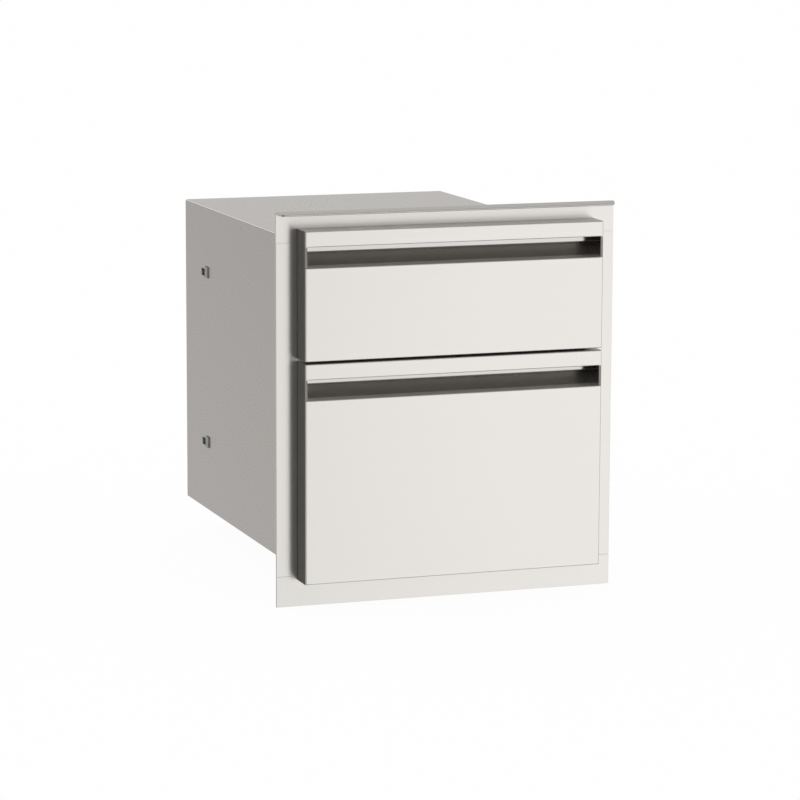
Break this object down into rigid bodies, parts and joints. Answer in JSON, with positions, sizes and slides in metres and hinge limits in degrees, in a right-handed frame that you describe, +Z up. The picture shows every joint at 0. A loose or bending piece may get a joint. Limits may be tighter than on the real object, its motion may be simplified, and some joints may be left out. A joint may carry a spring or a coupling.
{
  "type": "built-in outdoor kitchen drawer unit",
  "caption": "Built-in stainless steel drawer unit for an outdoor kitchen: a face frame with a drip lip, a closed housing, and a shallow drawer above a deep one, with finger pulls.",
  "frame": {"origin": "on the back of the face frame, where it seats on the front of the island, halfway across and midway up the strip of the bottom rail that hangs below the housing", "axes": "+X to the right seen from the front, +Y into the island along the drawers, +Z up; the drawers open along -Y"},
  "size_m": [0.4064, 0.5182, 0.45],
  "materials": {
    "face_steel": "fine brushed stainless, grain along the fronts and rails",
    "housing_steel": "plain mill-finish stainless sheet",
    "box_steel": "plain mill-finish stainless sheet",
    "slide_zinc": "bright zinc plate",
    "bright_steel": "polished steel",
    "pad_rubber": "matt black rubber"
  },
  "bodies": {
    "cabinet": {"top_rail": "face_steel", "bottom_rail": "face_steel", "left_stile": "face_steel", "right_stile": "face_steel", "housing_wrap": "housing_steel", "housing_floor": "housing_steel", "housing_back": "housing_steel", "bottom_left_cabinet_member": "slide_zinc", "bottom_left_cabinet_rivet": "bright_steel", "bottom_left_bumper_pad": "pad_rubber", "bottom_right_cabinet_member": "slide_zinc", "bottom_right_cabinet_rivet": "bright_steel", "bottom_right_bumper_pad": "pad_rubber", "top_left_cabinet_member": "slide_zinc", "top_left_cabinet_rivet": "bright_steel", "top_left_bumper_pad": "pad_rubber", "top_right_cabinet_member": "slide_zinc", "top_right_cabinet_rivet": "bright_steel", "top_right_bumper_pad": "pad_rubber"},
    "bottom_drawer": {"bottom_front_skin": "face_steel", "bottom_finger_pull": "face_steel", "bottom_inner_front": "box_steel", "bottom_box_floor": "box_steel", "bottom_box_back_wall": "box_steel", "bottom_box_left_wall": "box_steel", "bottom_box_right_wall": "box_steel", "bottom_left_drawer_screw_front": "bright_steel", "bottom_left_drawer_screw_rear": "bright_steel", "bottom_left_drawer_member": "slide_zinc", "bottom_right_drawer_screw_front": "bright_steel", "bottom_right_drawer_screw_rear": "bright_steel", "bottom_right_drawer_member": "slide_zinc"},
    "bottom_intermediates": {"bottom_left_intermediate_member": "slide_zinc", "bottom_right_intermediate_member": "slide_zinc"},
    "bottom_outer_cages": {"bottom_left_outer_ball_cage": "bright_steel", "bottom_right_outer_ball_cage": "bright_steel"},
    "bottom_inner_cages": {"bottom_left_inner_ball_cage": "bright_steel", "bottom_right_inner_ball_cage": "bright_steel"},
    "top_drawer": {"top_front_skin": "face_steel", "top_finger_pull": "face_steel", "top_inner_front": "box_steel", "top_box_floor": "box_steel", "top_box_back_wall": "box_steel", "top_box_left_wall": "box_steel", "top_box_right_wall": "box_steel", "top_left_drawer_screw_front": "bright_steel", "top_left_drawer_screw_rear": "bright_steel", "top_left_drawer_member": "slide_zinc", "top_right_drawer_screw_front": "bright_steel", "top_right_drawer_screw_rear": "bright_steel", "top_right_drawer_member": "slide_zinc"},
    "top_intermediates": {"top_left_intermediate_member": "slide_zinc", "top_right_intermediate_member": "slide_zinc"},
    "top_outer_cages": {"top_left_outer_ball_cage": "bright_steel", "top_right_outer_ball_cage": "bright_steel"},
    "top_inner_cages": {"top_left_inner_ball_cage": "bright_steel", "top_right_inner_ball_cage": "bright_steel"}
  },
  "joints": [
    {"name": "bottom_drawer_slide", "type": "slide", "parent": "cabinet", "child": "bottom_drawer", "axis": [0, -1, 0], "range_m": [0, 0.44]},
    {"name": "bottom_intermediates_slide", "type": "slide", "parent": "cabinet", "child": "bottom_intermediates", "axis": [0, -1, 0], "range_m": [0, 0.22]},
    {"name": "bottom_outer_cages_slide", "type": "slide", "parent": "cabinet", "child": "bottom_outer_cages", "axis": [0, -1, 0], "range_m": [0, 0.11]},
    {"name": "bottom_inner_cages_slide", "type": "slide", "parent": "cabinet", "child": "bottom_inner_cages", "axis": [0, -1, 0], "range_m": [0, 0.33]},
    {"name": "top_drawer_slide", "type": "slide", "parent": "cabinet", "child": "top_drawer", "axis": [0, -1, 0], "range_m": [0, 0.44]},
    {"name": "top_intermediates_slide", "type": "slide", "parent": "cabinet", "child": "top_intermediates", "axis": [0, -1, 0], "range_m": [0, 0.22]},
    {"name": "top_outer_cages_slide", "type": "slide", "parent": "cabinet", "child": "top_outer_cages", "axis": [0, -1, 0], "range_m": [0, 0.11]},
    {"name": "top_inner_cages_slide", "type": "slide", "parent": "cabinet", "child": "top_inner_cages", "axis": [0, -1, 0], "range_m": [0, 0.33]}
  ],
  "couplings": [
    {"joint": "bottom_intermediates_slide", "follows": "bottom_drawer_slide", "ratio": 0.5},
    {"joint": "bottom_outer_cages_slide", "follows": "bottom_drawer_slide", "ratio": 0.25},
    {"joint": "bottom_inner_cages_slide", "follows": "bottom_drawer_slide", "ratio": 0.75},
    {"joint": "top_intermediates_slide", "follows": "top_drawer_slide", "ratio": 0.5},
    {"joint": "top_outer_cages_slide", "follows": "top_drawer_slide", "ratio": 0.25},
    {"joint": "top_inner_cages_slide", "follows": "top_drawer_slide", "ratio": 0.75}
  ]
}
